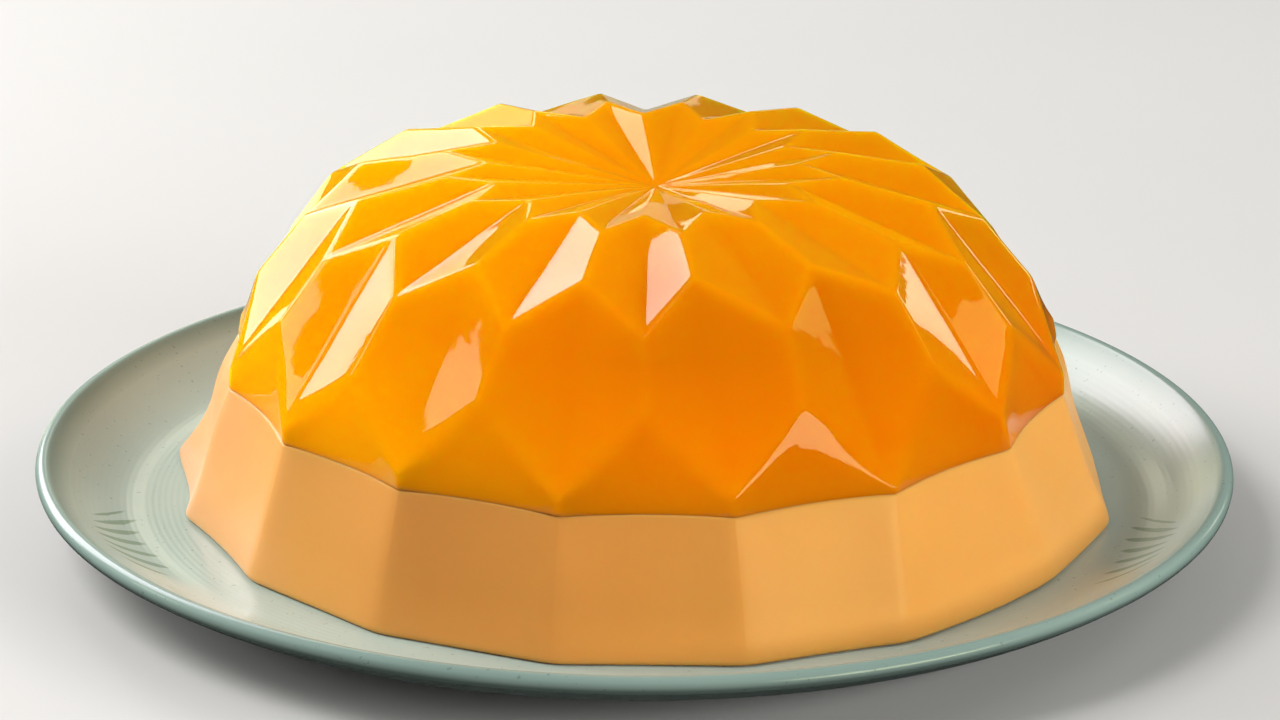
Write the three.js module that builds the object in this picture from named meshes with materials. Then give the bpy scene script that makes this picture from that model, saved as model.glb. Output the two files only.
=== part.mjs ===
import * as THREE from "three";

// A two-layer moulded jelly turned out on its plate: a cream layer below, clear orange jelly above.
// Millimetres, +Z up. The origin is the centre of the plate's foot, on the table.
// A bearing is an angle round the jelly: 0 at the front (-Y), 90 at the right (+X).

// Plate
const plateRadius = 134.4;
const lipThickness = 4;
const lipHeight = 16;
const wellHeight = 7;
const wellRadius = 109;
const plateThickness = 4;
const footRadius = 78;
const footWidth = 5;
const footHeight = 3;
const plateSides = 96;

// Jelly: sixteen flutes rise into pointed arches, and two rings of diamonds lead to a small crater.
// Heights are above the plate's well.
const flutes = 16;
const baseRadius = 104;
const creamHeight = 30.4;
const creamRadius = 94;
const archFootRadius = 93.8;
const archFootHeight = 35.5;
const archTopRadius = 86.2;
const archTopHeight = 51.4;
const shoulderTipRadius = 75;
const shoulderTipHeight = 65;
const shoulderPeakRadius = 64.2;
const shoulderPeakHeight = 72.8;
const rimNotchRadius = 34.6;
const rimNotchHeight = 77.2;
const rimCornerRadius = 44.4;
const rimCornerHeight = 77;
const craterHeight = 72;
const fluteHollow = 1.8;
const layerGap = 0.1;

// How far, in millimetres, each kind of fold is rounded off on either side of its line.
const creamFold = 3.2;
const jellyFold = 1.6;

// How this one settled: it stands a little to the right of the plate's centre and is turned by a
// fraction of a degree, its top has leaned to the left, and the top slopes down towards the front.
const standX = 3.6;
const standY = -0.5;
const turned = -0.3;
const lean = -2.2;
const slopeX = 0.006;
const slopeY = 0.03;
const craterShift = 2.7;

// Soft swellings of the side: bearing in degrees and height of the middle, how far out, how many
// degrees wide and how tall.
const swellings = [
  { bearing: -98, height: -6, out: 4.6, wide: 14, tall: 8 },
  { bearing: -104, height: 0, out: 5, wide: 12, tall: 14 },
  { bearing: -96, height: 22, out: 3.3, wide: 14, tall: 9.5 },
  { bearing: -122, height: 62, out: 2.1, wide: 28, tall: 19 },
  { bearing: 98, height: 26, out: 1.6, wide: 12, tall: 8 },
  { bearing: 86, height: 2, out: 0.7, wide: 12, tall: 8 },
];

// Corners that turned out uneven: turned about the axis by degrees, or moved up or out by millimetres.
const unevenCorners = [
  { ring: "base", bearing: 33.75, turn: -2.4 },
  { ring: "base", bearing: 56.25, turn: 1.9, out: -1.8 },
  { ring: "base", bearing: -78.75, out: 1.6 },
  { ring: "archFoot", bearing: 33.75, rise: -3 },
  { ring: "archFoot", bearing: 56.25, turn: -2.2, rise: 4.2 },
  { ring: "archTop", bearing: 45, rise: 1.8 },
  { ring: "archTop", bearing: -45, turn: -1.2, rise: -1.8 },
  { ring: "archTop", bearing: -22.5, turn: -1.2 },
  { ring: "shoulder", bearing: 11.25, turn: -2, rise: 1.2 },
  { ring: "shoulder", bearing: 22.5, turn: 1.2 },
  { ring: "shoulder", bearing: 45, rise: 2.1 },
  { ring: "shoulder", bearing: 56.25, turn: 2.4, rise: -1.7 },
  { ring: "shoulder", bearing: -168.75, turn: -1.9 },
  { ring: "shoulder", bearing: -146.25, turn: -2.3 },
];

const halfStep = Math.PI / flutes;
const halfFlutes = 2 * flutes;
const flat = Math.cos(halfStep);

// Each ring gives a radius and height at the middle of a flute and at the crease beside it.
const rings = [
  {
    name: "base",
    middle: [baseRadius * flat, 0],
    crease: [baseRadius, 0],
    fold: 0,
  },
  {
    name: "seam",
    middle: [creamRadius * flat - fluteHollow, creamHeight],
    crease: [creamRadius, creamHeight],
    fold: 0,
  },
  {
    name: "archFoot",
    middleName: "archTop",
    middle: [archTopRadius, archTopHeight],
    crease: [archFootRadius, archFootHeight],
    fold: jellyFold,
  },
  {
    name: "shoulder",
    middle: [shoulderTipRadius, shoulderTipHeight],
    crease: [shoulderPeakRadius, shoulderPeakHeight],
    fold: jellyFold,
  },
  {
    name: "rim",
    middle: [rimNotchRadius, rimNotchHeight],
    crease: [rimCornerRadius, rimCornerHeight],
    fold: jellyFold,
  },
  {
    name: "crater",
    middle: [0, craterHeight],
    crease: [0, craterHeight],
    fold: 0,
  },
];
const seamLevel = 1;
const archLevel = 2;
const craterLevel = rings.length - 1;

function toPoint(radius, bearing, height) {
  return new THREE.Vector3(radius * Math.sin(bearing), -radius * Math.cos(bearing), height);
}

// The corner of a ring at a half flute: even numbers are flute middles, odd numbers are creases.
function ringCorner(level, half) {
  const ring = rings[level];
  const atCrease = Math.abs(half % 2) === 1;
  const name = atCrease ? ring.name : ring.middleName ?? ring.name;
  const [radius, height] = atCrease ? ring.crease : ring.middle;
  const bearing = half * halfStep;
  const uneven = unevenCorners.find((corner) => {
    const away = THREE.MathUtils.degToRad(corner.bearing) - bearing;
    return corner.ring === name && Math.cos(away) > Math.cos(halfStep / 2);
  });
  const turn = THREE.MathUtils.degToRad(turned + (uneven?.turn ?? 0));
  return toPoint(radius + (uneven?.out ?? 0), bearing + turn, height + (uneven?.rise ?? 0));
}

// What rounding a corner adds to the straight folded line, at a distance t from the corner.
function softening(t, width) {
  const distance = Math.abs(t);
  if (distance >= width) {
    return 0;
  }
  return (t * t + width * width) / (2 * width) - distance;
}

// A point part of the way up the line of corners at one half flute, with its folds rounded off.
function uprightPoint(level, half) {
  const nearest = Math.round(level);
  const t = level - nearest;
  const corner = ringCorner(nearest, half);
  if (t === 0 && rings[nearest].fold === 0) {
    return corner;
  }
  const other = ringCorner(t > 0 ? nearest + 1 : nearest - 1, half);
  const point = corner.clone().lerp(other, Math.abs(t));
  if (rings[nearest].fold > 0) {
    const below = ringCorner(nearest - 1, half);
    const above = ringCorner(nearest + 1, half);
    const width = rings[nearest].fold / Math.min(corner.distanceTo(below), corner.distanceTo(above));
    const bend = below.add(above).multiplyScalar(0.5).sub(corner);
    point.addScaledVector(bend, softening(t, Math.min(width, 0.5)));
  }
  return point;
}

// How much of a half flute the rounding of its fold takes up: all of it where the flutes are hollow.
function foldWidth(level, half, corner, neighbour) {
  const atCrease = Math.abs(half % 2) === 1;
  const fold = atCrease && level <= seamLevel ? creamFold : jellyFold;
  const sharp = Math.min(fold / Math.max(corner.distanceTo(neighbour), fold), 1);
  if (atCrease || level >= archLevel) {
    return sharp;
  }
  const toArch = THREE.MathUtils.smoothstep(level, seamLevel, archLevel);
  return THREE.MathUtils.lerp(1, 0.3, toArch);
}

// The mould's surface at a level from the base ring to the crater, and at a half flute position.
function mouldPoint(level, position) {
  const half = Math.floor(position);
  const t = position - half;
  const around = [-1, 0, 1, 2].map((step) => uprightPoint(level, half + step));
  const point = around[1].clone().lerp(around[2], t);
  for (const [place, distance] of [[1, t], [2, t - 1]]) {
    const corner = around[place];
    const middle = around[place - 1].clone().add(around[place + 1]).multiplyScalar(0.5);
    const width = foldWidth(level, half + place - 1, corner, around[place + 1]);
    const bend = middle.sub(corner);
    const isFluteMiddle = (half + place - 1) % 2 === 0 && level < archLevel;
    if (isFluteMiddle) {
      // The hollow's deepest point lies on the ring, so the fold starts from deeper in.
      const deeper = 1 / (1 - width / 2);
      point.addScaledVector(bend, (1 - deeper) * (1 - Math.abs(distance)));
      bend.multiplyScalar(deeper);
    }
    point.addScaledVector(bend, softening(distance, width));
  }
  return point;
}

// Moves a point of the mould to where the jelly settled.
function settle(point) {
  const bearing = THREE.MathUtils.radToDeg(Math.atan2(point.x, -point.y));
  const radius = Math.hypot(point.x, point.y);
  let out = 0;
  for (const swelling of swellings) {
    const aside = (bearing - swelling.bearing) / swelling.wide;
    const up = (point.z - swelling.height) / swelling.tall;
    out += swelling.out * Math.exp(-aside * aside - up * up);
  }
  const grown = radius > 0 ? (radius + out) / radius : 1;
  const x = point.x * grown;
  const y = point.y * grown;
  const rise = point.z / rimCornerHeight;
  const inCrater = Math.max(0, 1 - radius / rimNotchRadius);
  return new THREE.Vector3(
    x + standX + lean * rise + craterShift * inCrater,
    y + standY,
    point.z + rise * (slopeX * x + slopeY * y) + wellHeight + layerGap,
  );
}

// A closed solid from stacked rows of points, whose ends close on the axis at the heights given.
function solidFromRows(rows, base, top) {
  const columns = rows[0].length;
  const points = rows.flat();
  const triangles = [];
  const at = (row, column) => row * columns + (column % columns);
  for (let row = 0; row + 1 < rows.length; row += 1) {
    for (let column = 0; column < columns; column += 1) {
      triangles.push(at(row, column), at(row, column + 1), at(row + 1, column + 1));
      triangles.push(at(row, column), at(row + 1, column + 1), at(row + 1, column));
    }
  }
  const closeEnd = (row, middle, up) => {
    const centre = points.push(middle) - 1;
    for (let column = 0; column < columns; column += 1) {
      const edge = [at(row, column), at(row, column + 1)];
      triangles.push(centre, ...(up ? edge : edge.reverse()));
    }
  };
  const last = rows.length - 1;
  closeEnd(0, settle(toPoint(0, 0, base)), false);
  closeEnd(last, settle(toPoint(0, 0, top)), true);
  const geometry = new THREE.BufferGeometry().setFromPoints(points);
  geometry.setIndex(triangles);
  geometry.computeVertexNormals();
  return geometry;
}

// Points are set at each fold, a little beside it and half way to the next fold.
const besideFold = 0.1;
const placesInHalf = [0, besideFold, 0.5, 1 - besideFold];
const positions = [];
for (let half = 0; half < halfFlutes; half += 1) {
  positions.push(...placesInHalf.map((place) => half + place));
}

function rowsAtLevels(levels) {
  return levels.map((level) => positions.map((position) => settle(mouldPoint(level, position))));
}

function makeCream() {
  const top = creamHeight - layerGap;
  const levels = [0, 0.25, 0.5, 0.75, top / creamHeight];
  return solidFromRows(rowsAtLevels(levels), 0, top);
}

function makeJelly() {
  const levels = [seamLevel, seamLevel + 0.3, seamLevel + 0.6, archLevel - besideFold];
  for (let level = archLevel; level < craterLevel; level += 1) {
    levels.push(...placesInHalf.map((place) => level + place));
  }
  levels.pop();
  return solidFromRows(rowsAtLevels(levels), creamHeight, craterHeight);
}

// The plate's outline, from the axis over the well, round the lip and back under to the foot ring.
function plateOutline() {
  const lipRadius = lipThickness / 2;
  const lipCentre = new THREE.Vector2(plateRadius - lipRadius, lipHeight);
  const wellEdge = new THREE.Vector2(wellRadius, wellHeight);
  const lipAt = (degrees) => {
    const angle = THREE.MathUtils.degToRad(degrees);
    return new THREE.Vector2(Math.cos(angle), Math.sin(angle)).multiplyScalar(lipRadius).add(lipCentre);
  };
  const lipInside = 120;
  const lipUnderside = -60;
  const inside = lipAt(lipInside);
  const underside = lipAt(lipUnderside);
  const rise = new THREE.QuadraticBezierCurve(
    wellEdge,
    new THREE.Vector2(wellRadius + 12, wellHeight),
    inside,
  );
  const underEdge = new THREE.Vector2(footRadius + 12, wellHeight - plateThickness);
  const belly = new THREE.QuadraticBezierCurve(
    underside,
    new THREE.Vector2(wellRadius + 10, wellHeight - plateThickness + 0.5),
    underEdge,
  );
  const lip = [];
  const lipSteps = 8;
  for (let step = 1; step < lipSteps; step += 1) {
    lip.push(lipAt(lipInside + ((lipUnderside - lipInside) * step) / lipSteps));
  }
  const innerFoot = footRadius - footWidth;
  return [
    new THREE.Vector2(0, wellHeight),
    new THREE.Vector2(wellRadius * 0.6, wellHeight),
    ...rise.getPoints(5),
    ...lip,
    ...belly.getPoints(4),
    new THREE.Vector2(footRadius + 1, footHeight),
    new THREE.Vector2(footRadius, 0),
    new THREE.Vector2(innerFoot, 0),
    new THREE.Vector2(innerFoot - 1, footHeight),
    new THREE.Vector2(0, footHeight),
  ];
}

function makePlate() {
  const outline = plateOutline().reverse();
  const geometry = new THREE.LatheGeometry(outline, plateSides);
  geometry.rotateX(Math.PI / 2);
  return geometry;
}

function addPiece(group, name, geometry, look) {
  const piece = new THREE.Mesh(geometry, new THREE.MeshStandardMaterial(look));
  piece.name = name;
  group.add(piece);
}

const mouldedJelly = new THREE.Group();
addPiece(mouldedJelly, "plate", makePlate(), { color: 0xbfd0c3, roughness: 0.2, metalness: 0 });
addPiece(mouldedJelly, "cream_layer", makeCream(), { color: 0xf0ae62, roughness: 0.35, metalness: 0 });
addPiece(mouldedJelly, "orange_jelly", makeJelly(), { color: 0xf28a00, roughness: 0.08, metalness: 0 });

export default mouldedJelly;
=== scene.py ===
"""The looks of a two-layer moulded jelly on its plate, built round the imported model. Metres, +Z up."""

import math

import bpy
import numpy as np
from mathutils import Matrix, Vector


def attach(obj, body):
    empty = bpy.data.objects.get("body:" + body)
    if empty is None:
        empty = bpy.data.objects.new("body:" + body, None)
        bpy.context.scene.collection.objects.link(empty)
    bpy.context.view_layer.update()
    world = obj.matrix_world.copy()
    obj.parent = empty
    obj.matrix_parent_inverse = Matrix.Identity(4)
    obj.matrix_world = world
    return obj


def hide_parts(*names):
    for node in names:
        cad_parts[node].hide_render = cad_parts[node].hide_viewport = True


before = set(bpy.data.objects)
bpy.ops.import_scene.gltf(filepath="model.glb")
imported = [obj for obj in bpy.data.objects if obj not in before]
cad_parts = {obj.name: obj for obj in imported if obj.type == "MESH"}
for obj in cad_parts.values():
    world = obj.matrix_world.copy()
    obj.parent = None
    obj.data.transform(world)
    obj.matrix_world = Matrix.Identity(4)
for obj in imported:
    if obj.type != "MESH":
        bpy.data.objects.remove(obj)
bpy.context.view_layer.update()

MM = 0.001

# The plate, in millimetres. The lip's height is that of its middle.
PLATE_RADIUS = 134.4
LIP_THICKNESS = 4.0
LIP_HEIGHT = 16.0
WELL_HEIGHT = 7.0
WELL_RADIUS = 109.0
PLATE_THICKNESS = 4.0
FOOT_RADIUS = 78.0
FOOT_WIDTH = 5.0
FOOT_HEIGHT = 3.0
PLATE_SIDES = 320

# The jelly, in millimetres above the plate's well: sixteen flutes, then two rings of diamonds.
FLUTES = 16
BASE_RADIUS = 104.0
CREAM_HEIGHT = 30.4
CREAM_RADIUS = 94.0
FLUTE_HOLLOW = 1.8
ARCH_BULGE = 0.5
RIM_CORNER_HEIGHT = 77.0
RIM_NOTCH_RADIUS = 34.6
CRATER_HEIGHT = 72.0

# The two layers almost touch, and the upper one starts a little further in.
LAYER_GAP = 0.1
LEDGE = 0.25

# Half the width of the rounding along each kind of fold, and how much narrower it gets in the crater.
CREAM_FOLD = 3.4
JELLY_FOLD = 1.3
CRATER_SHARPER = 0.6

# The rounding of the cream's foot and of its top edge, which goes in by only a part of its height.
FOOT_ROUNDING = 1.4
TOP_ROUNDING = 0.6
TOP_ROUNDING_IN = 0.4

# How the jelly settled on the plate: its place, a turn in degrees, a lean and a slope to one side.
STAND = (3.6, -0.5)
TURNED = -0.3
LEAN = -2.2
SLOPE = (0.006, 0.03)
CRATER_SHIFT = 2.7

HALF_STEP = math.pi / FLUTES
HALVES = 2 * FLUTES
FLAT = math.cos(HALF_STEP)

# Each ring: its name at a crease and at a flute's middle, (radius, height) at each, and its rounding.
RINGS = [
    ("base", "base", (BASE_RADIUS, 0.0), (BASE_RADIUS * FLAT, 0.0), 0.0),
    ("seam", "seam", (CREAM_RADIUS, CREAM_HEIGHT), (CREAM_RADIUS * FLAT - FLUTE_HOLLOW, CREAM_HEIGHT), 0.0),
    ("arch_foot", "arch_top", (93.8, 35.5), (86.2, 51.4), JELLY_FOLD),
    ("shoulder", "shoulder", (64.2, 72.8), (75.0, 65.0), JELLY_FOLD),
    ("rim", "rim", (44.4, RIM_CORNER_HEIGHT), (RIM_NOTCH_RADIUS, 77.2), JELLY_FOLD),
    ("crater", "crater", (0.0, CRATER_HEIGHT), (0.0, CRATER_HEIGHT), 0.0),
]
SEAM_LEVEL = 1
ARCH_LEVEL = 2
RIM_LEVEL = len(RINGS) - 2
CRATER_LEVEL = len(RINGS) - 1

# Uneven corners: ring, bearing, then degrees of turn, millimetres of rise and millimetres out.
UNEVEN_CORNERS = [
    ("base", 33.75, -2.4, 0.0, 0.0),
    ("base", 56.25, 1.9, 0.0, -1.8),
    ("base", -78.75, 0.0, 0.0, 1.6),
    ("arch_foot", 33.75, 0.0, -3.0, 0.0),
    ("arch_foot", 56.25, -2.2, 4.2, 0.0),
    ("arch_top", 45.0, 0.0, 1.8, 0.0),
    ("arch_top", -45.0, -1.2, -1.8, 0.0),
    ("arch_top", -22.5, -1.2, 0.0, 0.0),
    ("shoulder", 11.25, -2.0, 1.2, 0.0),
    ("shoulder", 22.5, 1.2, 0.0, 0.0),
    ("shoulder", 45.0, 0.0, 2.1, 0.0),
    ("shoulder", 56.25, 2.4, -1.7, 0.0),
    ("shoulder", -168.75, -1.9, 0.0, 0.0),
    ("shoulder", -146.25, -2.3, 0.0, 0.0),
    ("rim", 157.5, 0.0, -0.6, 0.0),
    ("rim", 135.0, 0.0, -0.5, 0.0),
    ("rim", 112.5, 0.0, -0.4, 0.0),
]

# Soft swellings of the side: bearing, height, how far out, degrees wide, millimetres tall.
SWELLINGS = [
    (-98.0, -6.0, 4.6, 14.0, 8.0),
    (-104.0, 0.0, 5.0, 12.0, 14.0),
    (-96.0, 22.0, 3.3, 14.0, 9.5),
    (-122.0, 62.0, 2.1, 28.0, 19.0),
    (98.0, 26.0, 1.6, 12.0, 8.0),
    (86.0, 2.0, 0.7, 12.0, 8.0),
]

# The front of the crater, where the mould left it crumpled.
CRUMPLE_MIDDLE = (8.0, -14.0, CRATER_HEIGHT)
CRUMPLE_DEPTH = 0.13
CRUMPLE_RADIUS = 15.0

# How deep the faint unevenness of each layer is.
CREAM_RIPPLE = 0.16
JELLY_RIPPLE = 0.10

# Folds sharper than this many degrees are shaded as edges.
SHARP_ANGLE = 50.0


def smoothstep(value, low, high):
    t = np.clip((value - low) / (high - low), 0, 1)
    return t * t * (3 - 2 * t)


def ring_corner(level, half):
    """The corner of a ring at a half flute: even numbers are flute middles, odd numbers are creases."""
    crease_name, middle_name, crease, middle, _ = RINGS[level]
    at_crease = half % 2 == 1
    name = crease_name if at_crease else middle_name
    radius, height = crease if at_crease else middle
    bearing = half * HALF_STEP + math.radians(TURNED)
    for ring, corner_bearing, turn, rise, out in UNEVEN_CORNERS:
        away = math.radians(corner_bearing) - half * HALF_STEP
        if ring == name and math.cos(away) > math.cos(HALF_STEP / 2):
            bearing += math.radians(turn)
            radius += out
            height += rise
            break
    return np.array([radius * math.sin(bearing), -radius * math.cos(bearing), height])


def softening(t, width):
    """What rounding a corner adds to the straight folded line, at a distance t from the corner."""
    distance = np.abs(t)
    return np.where(distance < width, (t * t + width * width) / (2 * width) - distance, 0.0)


def upright(levels, half):
    """Points at the given levels on the line of corners of one half flute, with its folds rounded."""
    corners = np.array([ring_corner(level, half) for level in range(len(RINGS))])
    below = np.minimum(levels.astype(int), RIM_LEVEL)
    part = (levels - below)[:, None]
    points = corners[below] * (1 - part) + corners[below + 1] * part
    nearest = np.floor(levels + 0.5).astype(int)
    for level in range(1, CRATER_LEVEL):
        fold = RINGS[level][4]
        if fold == 0:
            continue
        reach = min(
            np.linalg.norm(corners[level] - corners[level - 1]),
            np.linalg.norm(corners[level] - corners[level + 1]),
        )
        bend = (corners[level - 1] + corners[level + 1]) / 2 - corners[level]
        added = softening(levels - level, min(fold / reach, 0.5))
        points += np.where(nearest == level, added, 0.0)[:, None] * bend
    return points


def hollowness(levels):
    """Flutes are hollow across their width up to the seam, and flat again at the tops of the arches."""
    return 1 - smoothstep(levels, SEAM_LEVEL, ARCH_LEVEL)


def fold_widths(levels, lines):
    """How much of a half flute the rounding of each fold takes up, at each level."""
    widths = np.zeros(lines.shape[:2])
    narrowing = 1 - CRATER_SHARPER * smoothstep(levels, RIM_LEVEL, RIM_LEVEL + 0.5)
    for half in range(HALVES):
        span = np.linalg.norm(lines[:, half] - lines[:, (half + 1) % HALVES], axis=1)
        at_crease = half % 2 == 1
        fold = np.where(at_crease & (levels <= SEAM_LEVEL), CREAM_FOLD, JELLY_FOLD) * narrowing
        sharp = np.minimum(fold / np.maximum(span, fold), 1)
        share = hollowness(levels) * (0 if at_crease else 1)
        widths[:, half] = share + (1 - share) * sharp
    return widths


def mould_surface(levels, positions):
    """The mould's surface at levels from base to crater, and at half flute positions round it."""
    lines = np.stack([upright(levels, half) for half in range(HALVES)], axis=1)
    widths = fold_widths(levels, lines)
    half = np.floor(positions).astype(int)
    t = positions - half
    around = [lines[:, (half + step) % HALVES] for step in (-1, 0, 1, 2)]
    points = around[1] * (1 - t[None, :, None]) + around[2] * t[None, :, None]
    for place, distance in ((1, t), (2, t - 1)):
        index = (half + place - 1) % HALVES
        width = widths[:, index]
        bend = (around[place - 1] + around[place + 1]) / 2 - around[place]
        share = (index % 2 == 0)[None, :] * hollowness(levels)[:, None]
        # A hollow flute keeps its middle where it is, so the corner goes deeper before it is rounded.
        deeper = 1 / (1 - width * share / 2)
        sunk = (1 - deeper) * (1 - np.abs(distance))[None, :]
        points = points + bend * (sunk + deeper * softening(distance[None, :], width))[..., None]
    return points


def settle(points):
    """Moves points of the mould to where the jelly settled."""
    bearing = np.degrees(np.arctan2(points[..., 0], -points[..., 1]))
    radius = np.hypot(points[..., 0], points[..., 1])
    out = np.zeros_like(radius)
    for middle, height, most, wide, tall in SWELLINGS:
        aside = (bearing - middle) / wide
        up = (points[..., 2] - height) / tall
        out += most * np.exp(-aside * aside - up * up)
    grown = np.where(radius > 0, (radius + out) / np.maximum(radius, 1e-9), 1)
    x = points[..., 0] * grown
    y = points[..., 1] * grown
    rise = points[..., 2] / RIM_CORNER_HEIGHT
    in_crater = np.maximum(0, 1 - radius / RIM_NOTCH_RADIUS)
    return np.stack(
        [
            x + STAND[0] + LEAN * rise + CRATER_SHIFT * in_crater,
            y + STAND[1],
            points[..., 2] + rise * (SLOPE[0] * x + SLOPE[1] * y) + WELL_HEIGHT + LAYER_GAP,
        ],
        axis=-1,
    )


def ripples(points, count, shortest, longest, depth, seed):
    """A gentle unevenness of the surface: several long waves in random directions."""
    draw = np.random.default_rng(seed)
    total = np.zeros(points.shape[:-1])
    for _ in range(count):
        direction = draw.normal(size=3)
        direction /= np.linalg.norm(direction)
        length = draw.uniform(shortest, longest)
        phase = draw.uniform(0, 2 * math.pi)
        total += np.sin(points @ direction * (2 * math.pi / length) + phase)
    return total * depth / math.sqrt(count)


def bulge(levels, positions):
    """How far the arches stand out between the seam and their tops, most at their middles."""
    part = np.clip(levels - SEAM_LEVEL, 0, 1)[:, None]
    from_middle = np.abs((positions + 1) % 2 - 1)[None, :]
    return ARCH_BULGE * 4 * part * (1 - part) * np.cos(from_middle * math.pi / 2) ** 2


def crumple(points):
    """Small lumps at the front of the crater."""
    away = points - settle(np.array(CRUMPLE_MIDDLE))
    near = np.exp(-np.sum(away**2, axis=-1) / CRUMPLE_RADIUS**2)
    return near * ripples(points, count=10, shortest=6, longest=14, depth=CRUMPLE_DEPTH, seed=8)


def outward(points):
    """Unit normals of a closed band of rows and columns."""
    along = np.gradient(points, axis=0)
    around = np.roll(points, -1, axis=1) - np.roll(points, 1, axis=1)
    normal = np.cross(around, along)
    return normal / np.maximum(np.linalg.norm(normal, axis=-1, keepdims=True), 1e-12)


def level_outward(points):
    """Unit vectors that point level, away from the jelly's middle."""
    away = points - np.array([STAND[0], STAND[1], 0])
    away[..., 2] = 0
    return away / np.linalg.norm(away, axis=-1, keepdims=True)


def closed_mesh(name, rows, bottom, top):
    """A closed mesh from rows of points in millimetres, whose two ends close on a point each."""
    count, columns = rows.shape[:2]
    points = np.concatenate([rows.reshape(-1, 3), [bottom], [top]])
    faces = []
    for row in range(count - 1):
        for column in range(columns):
            a = row * columns + column
            b = row * columns + (column + 1) % columns
            faces.append((a, b, b + columns, a + columns))
    low, high = len(points) - 2, len(points) - 1
    last = (count - 1) * columns
    for column in range(columns):
        after = (column + 1) % columns
        faces.append((low, after, column))
        faces.append((high, last + column, last + after))
    mesh = bpy.data.meshes.new(name)
    mesh.from_pydata((points * MM).tolist(), [], faces)
    mesh.validate()
    mesh.shade_smooth()
    mesh.set_sharp_from_angle(angle=math.radians(SHARP_ANGLE))
    piece = bpy.data.objects.new(name, mesh)
    bpy.context.scene.collection.objects.link(piece)
    return piece


# Places in one step between two folds, close together near both.
NEAR_FOLD = [0.012, 0.025, 0.04, 0.058, 0.08, 0.11]
BETWEEN_FOLDS = [0.2, 0.35, 0.5, 0.65, 0.8]
PLACES = [0.0] + NEAR_FOLD + BETWEEN_FOLDS + [1 - place for place in reversed(NEAR_FOLD)]
POSITIONS = np.array([half + place for half in range(HALVES) for place in PLACES])

# Rows of the clear jelly: the last two before the crater's middle would be crowded.
JELLY_LEVELS = np.array([level + place for level in range(SEAM_LEVEL, CRATER_LEVEL) for place in PLACES][:-2])

# Rows of the cream, close together at its foot and at its top edge.
CREAM_FOOT_LEVELS = [0.0, 0.004, 0.012, 0.022, 0.034, 0.048, 0.07]
CREAM_SIDE_LEVELS = np.linspace(0.12, 0.92, 17)
CREAM_TOP_LEVELS = [0.95, 0.962, 0.972, 0.981, 0.988, 0.993, 0.9967]
CREAM_LEVELS = np.concatenate([CREAM_FOOT_LEVELS, CREAM_SIDE_LEVELS, CREAM_TOP_LEVELS])


def cream_inset(height):
    """How far in the rounding takes the cream's foot and top edge, at each height."""
    below = np.clip(FOOT_ROUNDING - height, 0, None)
    foot = FOOT_ROUNDING - np.sqrt(FOOT_ROUNDING**2 - below**2)
    above = np.clip(height - (CREAM_HEIGHT - LAYER_GAP - TOP_ROUNDING), 0, None)
    top = TOP_ROUNDING - np.sqrt(np.maximum(TOP_ROUNDING**2 - above**2, 0))
    return foot + TOP_ROUNDING_IN * top


def make_cream():
    """The cream layer: hollow flutes with rounded creases, a rounded foot and a small lit top edge."""
    rows = settle(mould_surface(CREAM_LEVELS, POSITIONS))
    raised = ripples(rows, count=8, shortest=18, longest=60, depth=CREAM_RIPPLE, seed=3)
    rows = rows + outward(rows) * raised[..., None]
    inset = cream_inset((CREAM_LEVELS * CREAM_HEIGHT)[:, None])
    rows = rows - level_outward(rows) * inset[..., None]
    bottom = settle(np.array([0.0, 0.0, 0.0]))
    top = settle(np.array([0.0, 0.0, CREAM_HEIGHT - LAYER_GAP]))
    return closed_mesh("cream_body", rows, bottom, top)


def make_jelly():
    """The clear jelly: pointed arches, two rings of diamonds and a star-shaped crater."""
    rows = settle(mould_surface(JELLY_LEVELS, POSITIONS))
    raised = ripples(rows, count=8, shortest=16, longest=50, depth=JELLY_RIPPLE, seed=5)
    raised = raised + bulge(JELLY_LEVELS, POSITIONS) + crumple(rows)
    rows = rows + outward(rows) * raised[..., None]
    above_seam = np.clip((JELLY_LEVELS - SEAM_LEVEL) / 0.5, 0, 1)[:, None]
    rows = rows - level_outward(rows) * (LEDGE * (1 - above_seam) ** 6)[..., None]
    bottom = settle(np.array([0.0, 0.0, CREAM_HEIGHT]))
    top = settle(np.array([0.0, 0.0, CRATER_HEIGHT]))
    return closed_mesh("jelly_body", rows, bottom, top)


def bezier(start, pull, end, count):
    t = np.linspace(0, 1, count)[:, None]
    return (1 - t) ** 2 * np.array(start) + 2 * t * (1 - t) * np.array(pull) + t**2 * np.array(end)


def arc(centre, radius, first, last, count):
    angle = np.radians(np.linspace(first, last, count))
    return np.stack([centre[0] + radius * np.cos(angle), centre[1] + radius * np.sin(angle)], axis=-1)


def foot_profile():
    """The foot ring's outline, from its inner side to its outer side, with slightly rounded edges."""
    inner = FOOT_RADIUS - FOOT_WIDTH
    return [
        (inner - 3, FOOT_HEIGHT),
        (inner - 1, FOOT_HEIGHT - 0.2),
        (inner, 0.6),
        (inner + 0.5, 0),
        (FOOT_RADIUS - 0.5, 0),
        (FOOT_RADIUS, 0.6),
        (FOOT_RADIUS + 1, FOOT_HEIGHT - 0.2),
    ]


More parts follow.
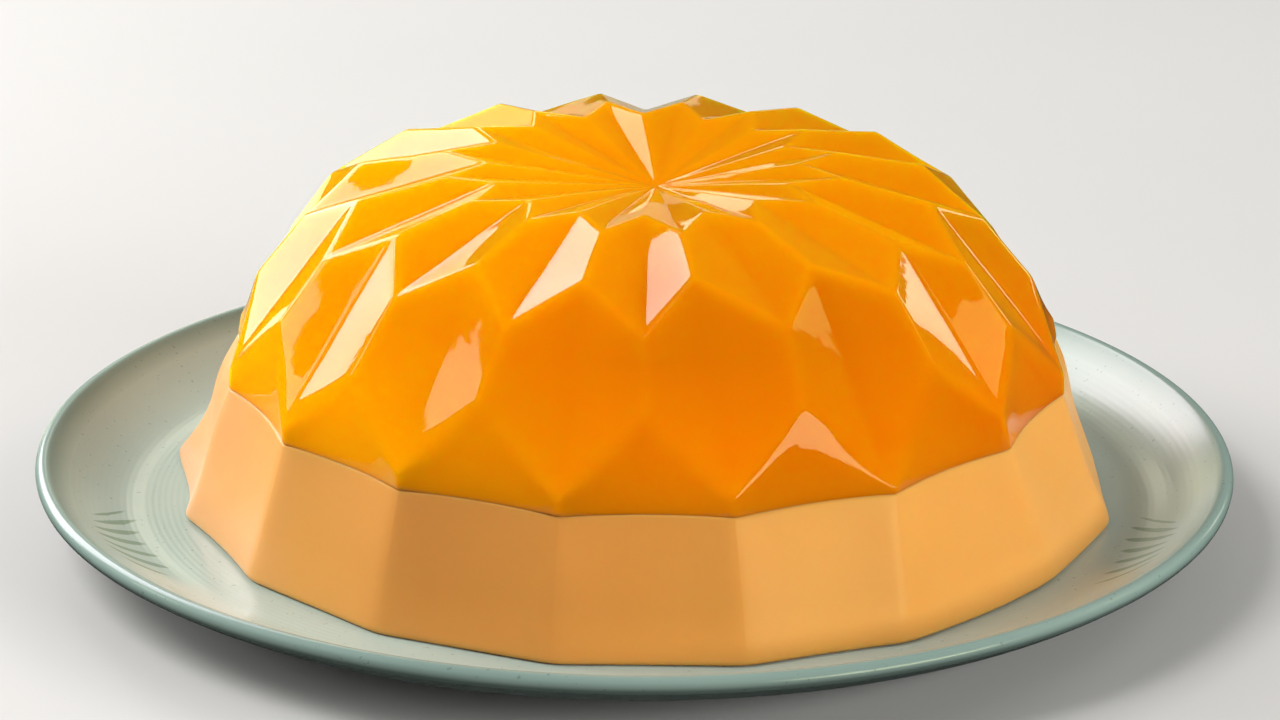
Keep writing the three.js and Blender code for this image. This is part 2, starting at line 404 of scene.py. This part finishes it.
def plate_profile():
    """The plate's outline from under its middle, round the foot and the lip, to the middle of the well."""
    lip_radius = LIP_THICKNESS / 2
    around_lip = arc((PLATE_RADIUS - lip_radius, LIP_HEIGHT), lip_radius, -60, 120, 24)
    belly_height = WELL_HEIGHT - PLATE_THICKNESS
    belly_pull = (WELL_RADIUS + 10, belly_height + 0.5)
    belly = bezier((FOOT_RADIUS + 12, belly_height), belly_pull, around_lip[0], 20)
    rise = bezier(around_lip[-1], (WELL_RADIUS + 12, WELL_HEIGHT), (WELL_RADIUS, WELL_HEIGHT), 24)
    well = [(radius, WELL_HEIGHT) for radius in np.linspace(WELL_RADIUS - 8, 6, 14)]
    under_middle = [(radius, FOOT_HEIGHT) for radius in np.linspace(8, FOOT_RADIUS - FOOT_WIDTH - 8, 6)]
    return np.concatenate([under_middle, foot_profile(), belly[:-1], around_lip[:-1], rise, well])


def make_plate():
    profile = plate_profile()
    turn = np.linspace(0, 2 * math.pi, PLATE_SIDES, endpoint=False)
    radius = profile[:, 0][:, None]
    rows = np.stack(
        [
            radius * np.sin(turn)[None, :],
            -radius * np.cos(turn)[None, :],
            np.repeat(profile[:, 1][:, None], PLATE_SIDES, axis=1),
        ],
        axis=-1,
    )
    return closed_mesh("plate_body", rows, (0, 0, FOOT_HEIGHT), (0, 0, WELL_HEIGHT))


class Nodes:
    """One material's nodes. A source is a (node, output) pair, which most of the helpers return."""

    def __init__(self, name, **values):
        self.material = bpy.data.materials.new(name)
        self.material.use_nodes = True
        self.tree = self.material.node_tree
        self.tree.nodes.clear()
        output = self.add("ShaderNodeOutputMaterial")
        self.shader = self.add("ShaderNodeBsdfPrincipled")
        for key, value in values.items():
            self.shader.inputs[key.replace("_", " ")].default_value = value
        self.link((self.shader, "BSDF"), output, "Surface")

    def add(self, kind, **settings):
        node = self.tree.nodes.new(kind)
        for key, value in settings.items():
            setattr(node, key, value)
        return node

    def link(self, source, node, into):
        self.tree.links.new(source[0].outputs[source[1]], node.inputs[into])

    def feed(self, source, into):
        """Joins a source to an input of the shader."""
        self.link(source, self.shader, into)

    def fill(self, node, inputs):
        """Fills inputs, given as (index, value) pairs, with sources, colours or numbers."""
        for index, value in inputs:
            if not isinstance(value, tuple):
                node.inputs[index].default_value = value
            elif isinstance(value[0], bpy.types.Node):
                self.link(value, node, index)
            else:
                node.inputs[index].default_value = (*value, 1)

    def place(self):
        """Each point's place in the piece's own coordinates, in metres."""
        return self.add("ShaderNodeTexCoord"), "Object"

    def axis(self, source, name):
        """The X, Y or Z of a vector."""
        split = self.add("ShaderNodeSeparateXYZ")
        self.link(source, split, "Vector")
        return split, name

    def share(self, source, low, high):
        """How far a value has come on the way from low to high, from 0 to 1."""
        node = self.add("ShaderNodeMapRange")
        node.inputs["From Min"].default_value = low
        node.inputs["From Max"].default_value = high
        self.link(source, node, "Value")
        return node, "Result"

    def noise(self, scale, detail):
        node = self.add("ShaderNodeTexNoise")
        node.inputs["Scale"].default_value = scale
        node.inputs["Detail"].default_value = detail
        self.link(self.place(), node, "Vector")
        return node, "Fac"

    def ramp(self, source, stops):
        """A colour for each value from 0 to 1, from (value, colour) stops. A number is a grey."""
        node = self.add("ShaderNodeValToRGB")
        elements = node.color_ramp.elements
        elements.remove(elements[1])
        for index, (position, colour) in enumerate(stops):
            element = elements.new(position) if index > 0 else elements[0]
            element.position = position
            element.color = (*colour, 1) if isinstance(colour, tuple) else (colour, colour, colour, 1)
        self.link(source, node, "Fac")
        return node, "Color"

    def along(self, axis, low, high, stops):
        """Colours along one axis of the piece, from low to high in millimetres."""
        return self.ramp(self.share(self.axis(self.place(), axis), low * MM, high * MM), stops)

    def mix(self, fraction, first, second, blend="MIX"):
        node = self.add("ShaderNodeMix", data_type="RGBA", blend_type=blend)
        self.fill(node, ((0, fraction), (6, first), (7, second)))
        return node, 2

    def multiply(self, first, second):
        """One colour times another."""
        return self.mix(1.0, first, second, "MULTIPLY")

    def math(self, operation, *values):
        node = self.add("ShaderNodeMath", operation=operation)
        self.fill(node, enumerate(values))
        return node, 0

    def vector(self, operation, source, *constants):
        """Vector arithmetic on a source, with constants."""
        node = self.add("ShaderNodeVectorMath", operation=operation)
        self.link(source, node, 0)
        for index, value in enumerate(constants, 1):
            node.inputs[index].default_value = value
        return node, "Value" if operation == "LENGTH" else "Vector"

    def bump(self, source, strength, distance, into="Normal"):
        node = self.add("ShaderNodeBump")
        node.inputs["Strength"].default_value = strength
        node.inputs["Distance"].default_value = distance
        self.link(source, node, "Height")
        self.feed((node, "Normal"), into)


# The smooth dome that stands for the inside of the jelly, and how much of it shows beside the facets.
DOME_STRETCH = (1.0, 1.0, 1.2)
DOME_MIDDLE = (STAND[0], STAND[1], -50.0)
DOME_SHARE = 0.92

# Heights above the table, in millimetres: the seam, and what lies above it.
SEAM_HEIGHT = WELL_HEIGHT + CREAM_HEIGHT
SEAM_FADE = 14.0
COLOUR_HEIGHT = 46.0
SIDES_RISE = (12.0, 28.0)

# How far the painted light and shade goes to each side.
JELLY_HALF_WIDTH = 95.0
CREAM_HALF_WIDTH = 100.0


def glow_normal(nodes):
    """The facing of a smooth dome, with a little of each facet's own: light spreads inside the jelly."""
    shift = [-stretch * middle * MM for stretch, middle in zip(DOME_STRETCH, DOME_MIDDLE)]
    dome = nodes.vector("NORMALIZE", nodes.vector("MULTIPLY_ADD", nodes.place(), DOME_STRETCH, shift))
    to_world = nodes.add("ShaderNodeVectorTransform", vector_type="NORMAL")
    to_world.convert_from = "OBJECT"
    to_world.convert_to = "WORLD"
    nodes.link(dome, to_world, 0)
    blend = nodes.add("ShaderNodeMix", data_type="VECTOR")
    blend.inputs[0].default_value = DOME_SHARE
    nodes.link((nodes.add("ShaderNodeNewGeometry"), "Normal"), blend, 4)
    nodes.link((to_world, 0), blend, 5)
    nodes.feed(nodes.vector("NORMALIZE", (blend, 1)), "Normal")


def jelly_painted_light_by_height(nodes):
    """Orange, painted a little lighter and yellower towards the top, where more light falls."""
    stops = [
        (0.0, (0.99, 0.315, 0.001)),
        (0.2, (0.99, 0.305, 0.0)),
        (0.6, (0.99, 0.33, 0.0)),
        (0.93, (0.99, 0.365, 0.0)),
        (1.0, (0.99, 0.375, 0.0)),
    ]
    return nodes.along("Z", SEAM_HEIGHT, SEAM_HEIGHT + COLOUR_HEIGHT, stops)


def jelly_painted_light_by_side(nodes):
    """Painted light and shade: lighter towards the left, deeper and redder to the right, with one change of
    colour low down and another one high up.
    """
    low_stops = [
        (0.0, (0.99, 1.0, 1.0)),
        (0.2, (0.99, 1.05, 1.0)),
        (0.36, (0.99, 0.97, 1.0)),
        (0.5, (0.96, 0.82, 1.0)),
        (0.8, (0.84, 0.72, 1.0)),
        (1.0, (0.82, 0.54, 1.0)),
    ]
    high_stops = [
        (0.0, (0.98, 0.80, 1.0)),
        (0.2, (0.99, 0.92, 1.0)),
        (0.36, (0.99, 0.82, 1.0)),
        (0.5, (0.80, 0.64, 1.0)),
        (1.0, (0.80, 0.66, 1.0)),
    ]
    low = nodes.along("X", -JELLY_HALF_WIDTH, JELLY_HALF_WIDTH, low_stops)
    high = nodes.along("X", -JELLY_HALF_WIDTH, JELLY_HALF_WIDTH, high_stops)
    start, end = SIDES_RISE
    rising = nodes.along("Z", SEAM_HEIGHT + start, SEAM_HEIGHT + end, [(0.0, 0.0), (1.0, 1.0)])
    return nodes.mix(rising, low, high)


def jelly_material():
    """Clear orange jelly: light spreads inside it, and its wet skin mirrors the room in each facet."""
    nodes = Nodes(
        "clear_orange_jelly",
        Specular_IOR_Level=0.0,
        Coat_Weight=1.0,
        Coat_Roughness=0.03,
        Coat_IOR=1.36,
        IOR=1.36,
        Subsurface_Scale=0.02,
        Subsurface_Radius=(0.35, 1.0, 1.0),
        Subsurface_Anisotropy=0.0,
    )
    glow_normal(nodes)
    # Light goes less deep near the seam, where the cream below is opaque.
    deep = nodes.along("Z", SEAM_HEIGHT, SEAM_HEIGHT + SEAM_FADE, [(0.0, 0.4), (1.0, 1.0)])
    nodes.feed(deep, "Subsurface Weight")
    clouds = nodes.ramp(nodes.noise(28.0, 2.0), [(0.35, (0.98, 0.96, 0.96)), (0.65, 1.0)])
    # The base colour carries painted light and shade: lighter towards the top and the left, deeper to the
    # right.
    colour = nodes.multiply(nodes.multiply(jelly_painted_light_by_height(nodes), jelly_painted_light_by_side(nodes)), clouds)
    nodes.feed(colour, "Base Color")
    nodes.bump(nodes.noise(140.0, 3.0), 0.05, 0.0006, "Coat Normal")
    return nodes.material


def cream_material():
    """Set cream: an opaque peach colour with a soft shine and a fine grain, and painted light and shade
    across it.
    """
    nodes = Nodes(
        "set_cream",
        IOR=1.4,
        Specular_IOR_Level=0.35,
        Subsurface_Weight=0.6,
        Subsurface_Scale=0.004,
        Subsurface_Radius=(1.0, 0.6, 0.4),
    )
    stops = [
        (0.0, (0.82, 0.43, 0.18)),
        (0.14, (0.78, 0.37, 0.09)),
        (0.28, (0.72, 0.31, 0.070)),
        (0.5, (0.79, 0.34, 0.070)),
        (0.7, (0.84, 0.39, 0.080)),
        (1.0, (0.84, 0.40, 0.090)),
    ]
    # Painted light and shade across the cream: paler at the far left where light comes through from behind,
    # painted shade towards the front left, lighter on the right.
    across = nodes.along("X", -CREAM_HALF_WIDTH, CREAM_HALF_WIDTH, stops)
    clouds = nodes.ramp(nodes.noise(45.0, 2.0), [(0.25, (0.96, 0.95, 0.94)), (0.75, 1.0)])
    nodes.feed(nodes.multiply(across, clouds), "Base Color")
    nodes.feed(nodes.ramp(nodes.noise(30.0, 1.0), [(0.2, 0.28), (0.8, 0.34)]), "Roughness")
    nodes.bump(nodes.noise(700.0, 3.0), 0.08, 0.0003)
    return nodes.material


# The painted sprigs: a fan of leaf-shaped strokes on each side of the plate, inside the lip.
SPRIG_BEARING = math.radians(71)
SPRIG_HALF_WIDTH = math.radians(9.5)
SPRIG_RADIUS = 118.5
SPRIG_HALF_LENGTH = 6.0
SPRIG_STROKES = 7
SPRIG_FAN = 0.4
SPRIG_NARROWEST = 0.3
SPRIG_UNEVEN = 1.2
SPRIG_PAINT = (0.55, 0.62, 0.52)

# How far apart the potter's turning lines are.
RING_SPACING = 1.4
# Painted shade darkens the lip: it starts to change at this radius and has changed this much further out.
LIP_SHADING_RADIUS = 127.0
LIP_SHADING = 4.0


def plate_polar(nodes):
    """The bearing in radians and the radius in metres of each point of the plate."""
    flat = nodes.vector("MULTIPLY", nodes.place(), (1, -1, 0))
    bearing = nodes.math("ARCTAN2", nodes.axis(flat, "X"), nodes.axis(flat, "Y"))
    return bearing, nodes.vector("LENGTH", flat)


def measured(nodes, source, middle, half):
    """A value's distance from a middle, with half as 1."""
    return nodes.math("MULTIPLY_ADD", source, 1 / half, -middle / half)


def sprigs(nodes, bearing, radius):
    """How much of the painted strokes shows at each point, from 0 to 1."""
    along = measured(nodes, radius, SPRIG_RADIUS * MM, SPRIG_HALF_LENGTH * MM)
    aside = measured(nodes, nodes.math("ABSOLUTE", bearing), SPRIG_BEARING, SPRIG_HALF_WIDTH)
    spread = nodes.math("MAXIMUM", nodes.math("MULTIPLY_ADD", along, -SPRIG_FAN, 1.0), SPRIG_NARROWEST)
    fanned = nodes.math("DIVIDE", aside, spread)
    wave = nodes.math("COSINE", nodes.math("MULTIPLY", fanned, math.pi * SPRIG_STROKES))
    ends = nodes.math("POWER", nodes.math("ABSOLUTE", along), 2.0)
    flanks = nodes.math("POWER", nodes.math("ABSOLUTE", fanned), 6.0)
    leaf = nodes.math("SUBTRACT", wave, nodes.math("ADD", ends, flanks))
    uneven = nodes.math("MULTIPLY_ADD", nodes.noise(160.0, 3.0), SPRIG_UNEVEN, -SPRIG_UNEVEN / 2)
    return nodes.ramp(nodes.math("ADD", leaf, uneven), [(0.0, 0.0), (0.35, 1.0)])


def glaze_and_painted_shade(nodes, on_lip, painted):
    """Grey green with painted shade on the lip and underneath, darker where the sprigs are painted, with a
    few specks.
    """
    glaze = nodes.ramp(nodes.noise(14.0, 4.0), [(0.3, (0.40, 0.51, 0.46)), (0.7, (0.46, 0.57, 0.51))])
    # Painted shade on the lip.
    lip = nodes.ramp(on_lip, [(0.0, 1.0), (1.0, (0.56, 0.62, 0.60))])
    # Painted shade on the faces that turn sideways and down: the outer lip and the underside.
    facing_up = nodes.share(nodes.axis((nodes.add("ShaderNodeTexCoord"), "Normal"), "Z"), -0.3, 0.7)
    painted_shade_below = nodes.ramp(facing_up, [(0.0, 0.3), (0.4, 0.7), (0.9, 1.0)])
    shaded = nodes.multiply(nodes.multiply(glaze, lip), painted_shade_below)
    coloured = nodes.mix(painted, shaded, nodes.multiply(shaded, SPRIG_PAINT))
    specks = nodes.ramp(nodes.noise(900.0, 1.0), [(0.24, 0.7), (0.29, 1.0)])
    return nodes.multiply(coloured, specks)


def turning_lines(nodes, on_lip, radius):
    """The height of faint rings inside the lip, on top of a slow unevenness."""
    rings = nodes.math("SINE", nodes.math("MULTIPLY", radius, 2 * math.pi / (RING_SPACING * MM)))
    inside = nodes.ramp(on_lip, [(0.0, 0.16), (0.5, 0.0)])
    lines = nodes.math("MULTIPLY", rings, nodes.math("MULTIPLY", nodes.noise(40.0, 2.0), inside))
    return nodes.math("ADD", lines, nodes.math("MULTIPLY", nodes.noise(60.0, 1.0), 0.4))


def plate_material():
    """Grey green glaze with painted sprigs and faint turning lines."""
    nodes = Nodes("celadon_glaze", IOR=1.6)
    bearing, radius = plate_polar(nodes)
    on_lip = measured(nodes, radius, LIP_SHADING_RADIUS * MM, LIP_SHADING * MM)
    nodes.feed(glaze_and_painted_shade(nodes, on_lip, sprigs(nodes, bearing, radius)), "Base Color")
    nodes.feed(nodes.ramp(nodes.noise(25.0, 3.0), [(0.3, 0.20), (0.7, 0.26)]), "Roughness")
    nodes.bump(turning_lines(nodes, on_lip, radius), 0.07, 0.001)
    return nodes.material


def finish_piece(piece, node, material):
    piece.data.materials.append(material)
    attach(piece, "root")
    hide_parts(node)


# The camera stands where the photograph was taken: place in millimetres, angles in degrees.
CAMERA_PLACE = (-3.9, -1026.2, 404.5)
CAMERA_YAW = 0.275
CAMERA_PITCH = 19.66
CAMERA_ROLL = 0.52
CAMERA_LENS = 136.65
SENSOR_WIDTH = 36.0
CAMERA_REACH = 50.0


def make_camera():
    yaw, pitch, roll = (math.radians(angle) for angle in (CAMERA_YAW, CAMERA_PITCH, CAMERA_ROLL))
    forward = Vector((math.sin(yaw) * math.cos(pitch), math.cos(yaw) * math.cos(pitch), -math.sin(pitch)))
    right = Vector((math.cos(yaw), -math.sin(yaw), 0))
    up = right.cross(forward)
    turned_right = math.cos(roll) * right + math.sin(roll) * up
    turned_up = math.cos(roll) * up - math.sin(roll) * right
    data = bpy.data.cameras.new("camera")
    data.sensor_fit = "HORIZONTAL"
    data.sensor_width = SENSOR_WIDTH
    data.lens = CAMERA_LENS
    data.clip_end = CAMERA_REACH
    camera = bpy.data.objects.new("camera", data)
    turn = Matrix((turned_right, turned_up, -forward)).transposed().to_4x4()
    camera.matrix_world = Matrix.Translation(Vector(CAMERA_PLACE) * MM) @ turn
    bpy.context.scene.collection.objects.link(camera)
    bpy.context.scene.camera = camera


# The lights stand on a sphere round this point, which is inside the jelly.
AIM = Vector((0, 0, 45 * MM))
LIGHT_DISTANCE = 1.7

# Faint tints of the cards.
WARM = (1.0, 1.0, 0.77)
WARMER = (1.0, 1.0, 0.53)
AMBER = (1.0, 1.0, 0.3)
ROSE = (1.0, 0.93, 0.98)


def area_light(name, bearings, heights, radiance, tint=(1, 1, 1)):
    """A soft light that fills a range of bearings and heights, in degrees as seen from the jelly."""
    bearing = math.radians(sum(bearings) / 2)
    height = math.radians(sum(heights) / 2)
    direction = Vector(
        (math.sin(bearing) * math.cos(height), -math.cos(bearing) * math.cos(height), math.sin(height))
    )
    half_wide = math.radians(abs(bearings[1] - bearings[0]) / 2)
    half_tall = math.radians(abs(heights[1] - heights[0]) / 2)
    data = bpy.data.lights.new(name, "AREA")
    data.shape = "RECTANGLE"
    data.size = 2 * LIGHT_DISTANCE * math.tan(half_wide) * math.cos(height)
    data.size_y = 2 * LIGHT_DISTANCE * math.tan(half_tall)
    data.energy = radiance * math.pi * data.size * data.size_y
    data.color = tint
    light = bpy.data.objects.new(name, data)
    light.location = AIM + LIGHT_DISTANCE * direction
    light.rotation_euler = direction.to_track_quat("Z", "Y").to_euler()
    light.visible_camera = False
    bpy.context.scene.collection.objects.link(light)
    return light


def softbox(name, bearings, heights, radiance):
    """Lights the surfaces, without a reflection of its own."""
    area_light(name, bearings, heights, radiance).visible_glossy = False


def reflector(name, bearings, heights, radiance, tint=(1, 1, 1)):
    """A card that shows in the gloss only."""
    area_light(name, bearings, heights, radiance, tint).visible_diffuse = False


def make_lights():
    """A window at the back left, soft fills round the rest, and cards for the smaller reflections."""
    reflector("window", (-123, -160), (8, 46.5), 5.6, ROSE)
    softbox("window_fill", (-123, -160), (8, 46.5), 3.0)
    softbox("left_low", (-100, -130), (0, 20), 13.5)
    softbox("left_middle", (-100, -130), (25, 50), 5.2)
    softbox("left_high", (-60, -100), (38, 66), 8.6)
    softbox("right_low", (30, 74), (8, 28), 10.3)
    softbox("right_far", (95, 140), (20, 50), 2.1)
    softbox("back_fill", (150, 210), (20, 55), 1.2)
    reflector("window_pane", (-166.5, -171.5), (33.5, 39.5), 3.9, WARM)
    reflector("back_pane", (-171, -178), (15.5, 22.5), 2.5, WARM)
    reflector("back_glow", (-173, -188), (-2, 10), 0.5, WARM)
    reflector("low_left", (-156, -161), (-12, -4.5), 2.0, WARMER)
    reflector("low_back", (-165, -171), (-4, 13), 1.2, WARMER)
    reflector("left_wall", (-98.2, -108), (20, 32), 4.2, WARM)
    reflector("right_slit", (133.5, 140.5), (9, 17), 3.6, WARM)
    reflector("right_wall", (102.5, 113), (27, 36.5), 2.8, AMBER)
    reflector("front_glow", (28, 66), (6, 16), 7.0, WARMER)
    reflector("far_rim", (-190, -150), (-26, -6), 0.4, WARM)
    reflector("ceiling", (-30, 30), (76, 90), 1.0)


FLOOR_REACH = 6.0
WORLD_LIGHT = (0.02, 0.02, 0.02, 1)
WORLD_SEEN = (0.75, 0.75, 0.74, 1)


def make_floor():
    """A plain pale floor, which shows in no gloss."""
    corners = [(x * FLOOR_REACH, y * FLOOR_REACH, 0) for x, y in ((-1, -1), (1, -1), (1, 1), (-1, 1))]
    mesh = bpy.data.meshes.new("floor")
    mesh.from_pydata(corners, [], [(0, 1, 2, 3)])
    floor = bpy.data.objects.new("floor", mesh)
    bpy.context.scene.collection.objects.link(floor)
    nodes = Nodes("pale_floor", Roughness=0.6)
    tint = nodes.ramp(nodes.noise(3.0, 3.0), [(0.3, (0.60, 0.59, 0.57)), (0.7, (0.63, 0.62, 0.60))])
    nodes.feed(tint, "Base Color")
    mesh.materials.append(nodes.material)
    floor.visible_glossy = False


def make_world():
    """Pale where the camera sees it past the floor, and almost no light of its own."""
    world = bpy.data.worlds.new("studio")
    bpy.context.scene.world = world
    world.use_nodes = True
    tree = world.node_tree
    path = tree.nodes.new("ShaderNodeLightPath")
    choose = tree.nodes.new("ShaderNodeMix")
    choose.data_type = "RGBA"
    choose.inputs[6].default_value = WORLD_LIGHT
    choose.inputs[7].default_value = WORLD_SEEN
    tree.links.new(path.outputs["Is Camera Ray"], choose.inputs[0])
    tree.links.new(choose.outputs[2], tree.nodes["Background"].inputs["Color"])


make_camera()
finish_piece(make_plate(), "plate", plate_material())
finish_piece(make_cream(), "cream_layer", cream_material())
finish_piece(make_jelly(), "orange_jelly", jelly_material())
make_lights()
make_floor()
make_world()
bpy.context.scene.view_settings.view_transform = "Standard"
